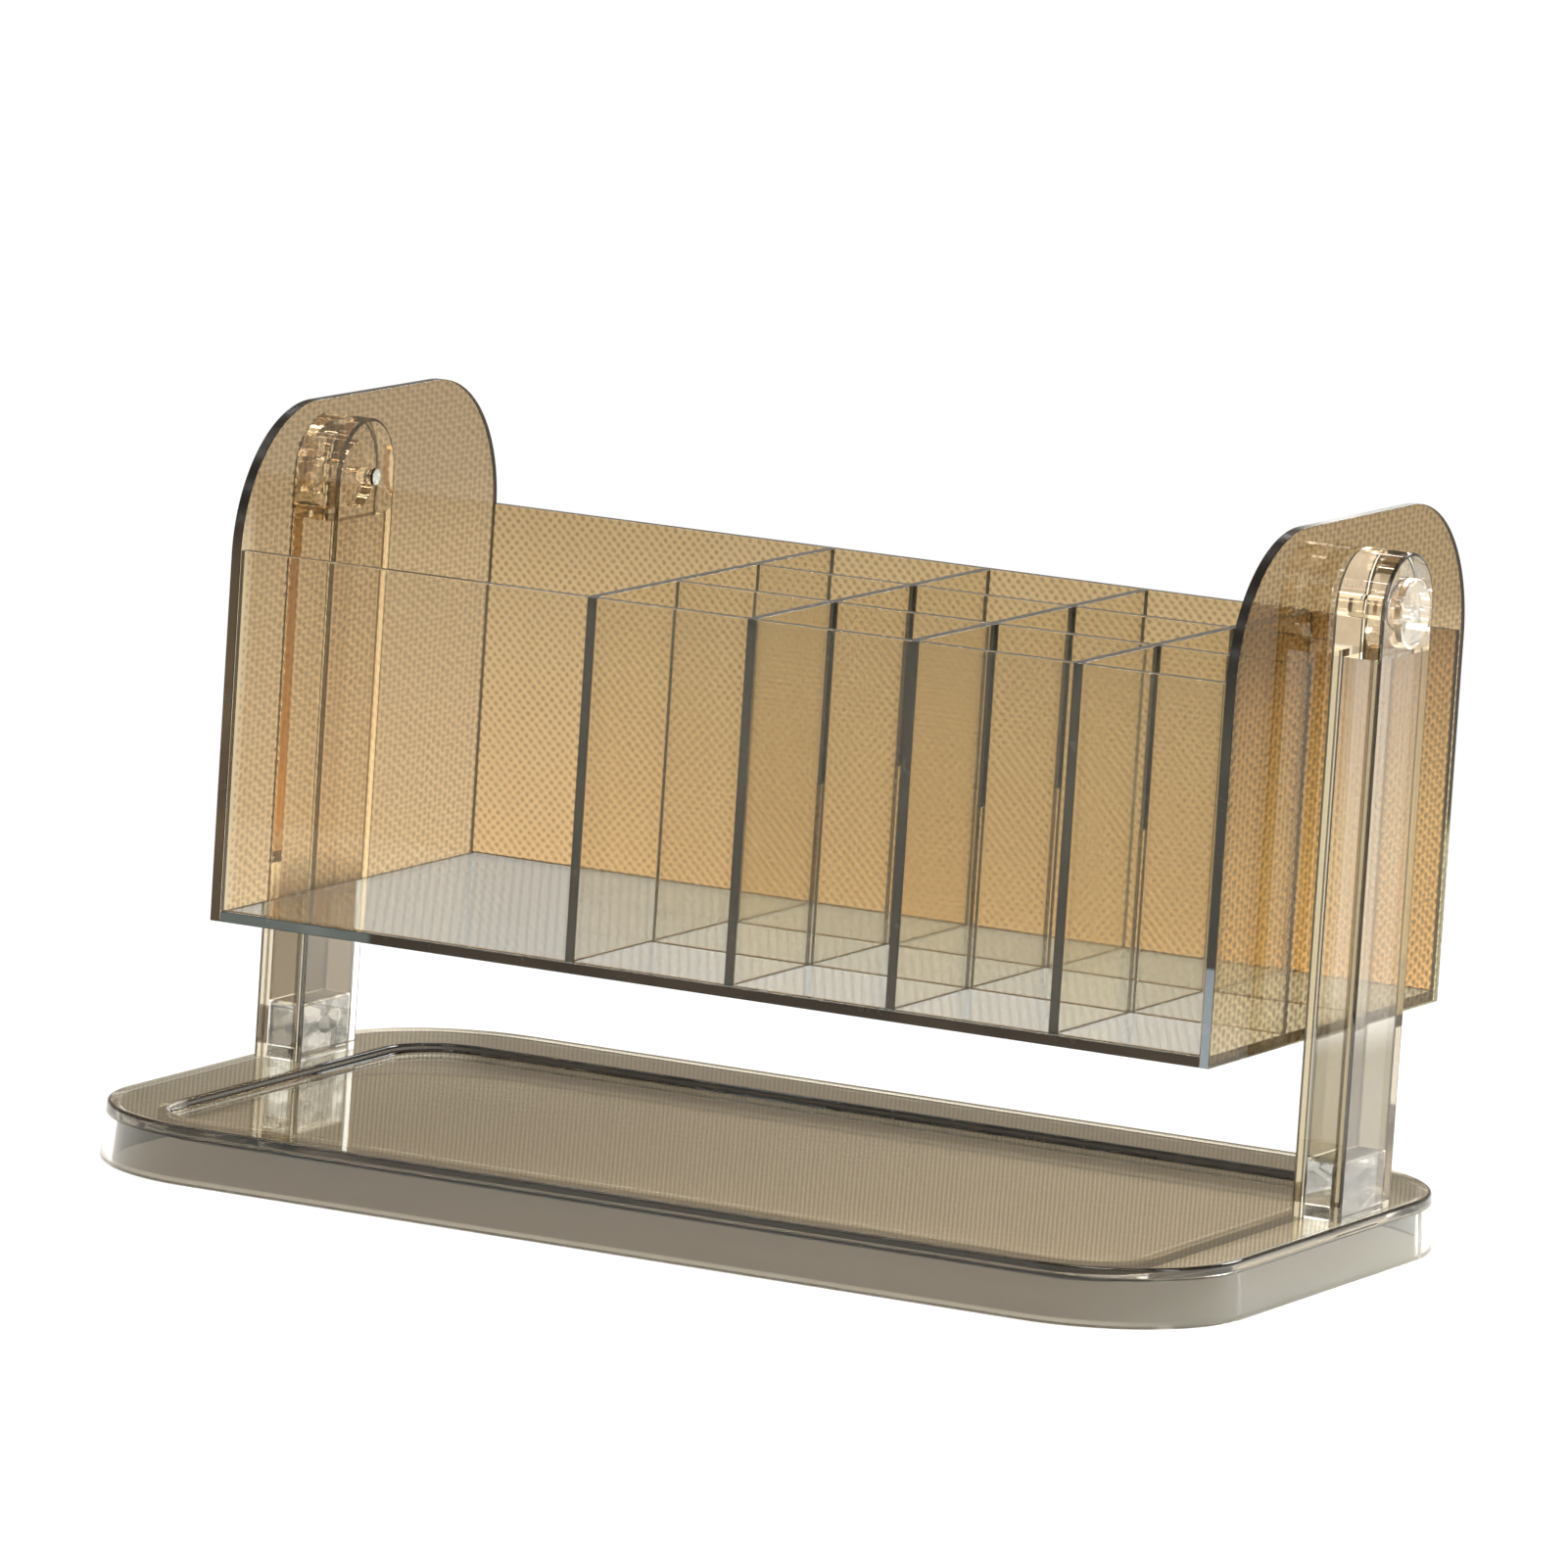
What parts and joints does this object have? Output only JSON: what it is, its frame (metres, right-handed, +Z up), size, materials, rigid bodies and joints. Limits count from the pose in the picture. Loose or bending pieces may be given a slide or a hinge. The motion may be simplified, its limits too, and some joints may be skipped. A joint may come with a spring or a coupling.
{
  "type": "rotating makeup organizer",
  "caption": "Clear open-topped bin with a wide brush bay and square lipstick slots, hung on two pivots between posts on a low tray.",
  "frame": {"origin": "middle of the tray's footprint, on the surface that it stands on, which is also the middle of the whole part's outline", "axes": "+X along the organizer, from the wide bay to the slots; +Y from its front to its back; +Z up"},
  "size_m": [0.2316, 0.137, 0.1392],
  "materials": {
    "tea_clear_plastic": "polished, see-through",
    "colourless_clear_plastic": "polished, see-through",
    "smoke_clear_plastic": "polished, see-through"
  },
  "bodies": {
    "stand": {"base_tray": "smoke_clear_plastic", "left_foot_plug": "colourless_clear_plastic", "right_foot_plug": "colourless_clear_plastic", "left_post": "colourless_clear_plastic", "right_post": "colourless_clear_plastic", "left_pivot_pin": "colourless_clear_plastic", "right_pivot_pin": "colourless_clear_plastic", "left_pivot_cap": "colourless_clear_plastic", "right_pivot_cap": "colourless_clear_plastic"},
    "bin": {"bin_floor": "tea_clear_plastic", "bin_front_wall": "tea_clear_plastic", "bin_back_wall": "tea_clear_plastic", "left_end_panel": "tea_clear_plastic", "right_end_panel": "tea_clear_plastic", "brush_bay_divider": "tea_clear_plastic", "column_divider_1": "tea_clear_plastic", "column_divider_2": "tea_clear_plastic", "column_divider_3": "tea_clear_plastic", "row_divider_1": "tea_clear_plastic", "row_divider_2": "tea_clear_plastic"}
  },
  "joints": [
    {"name": "bin_swing", "type": "hinge", "parent": "stand", "child": "bin", "pos_m": [0, 0.018, 0.1226], "axis": [1, 0, 0], "continuous": true}
  ]
}
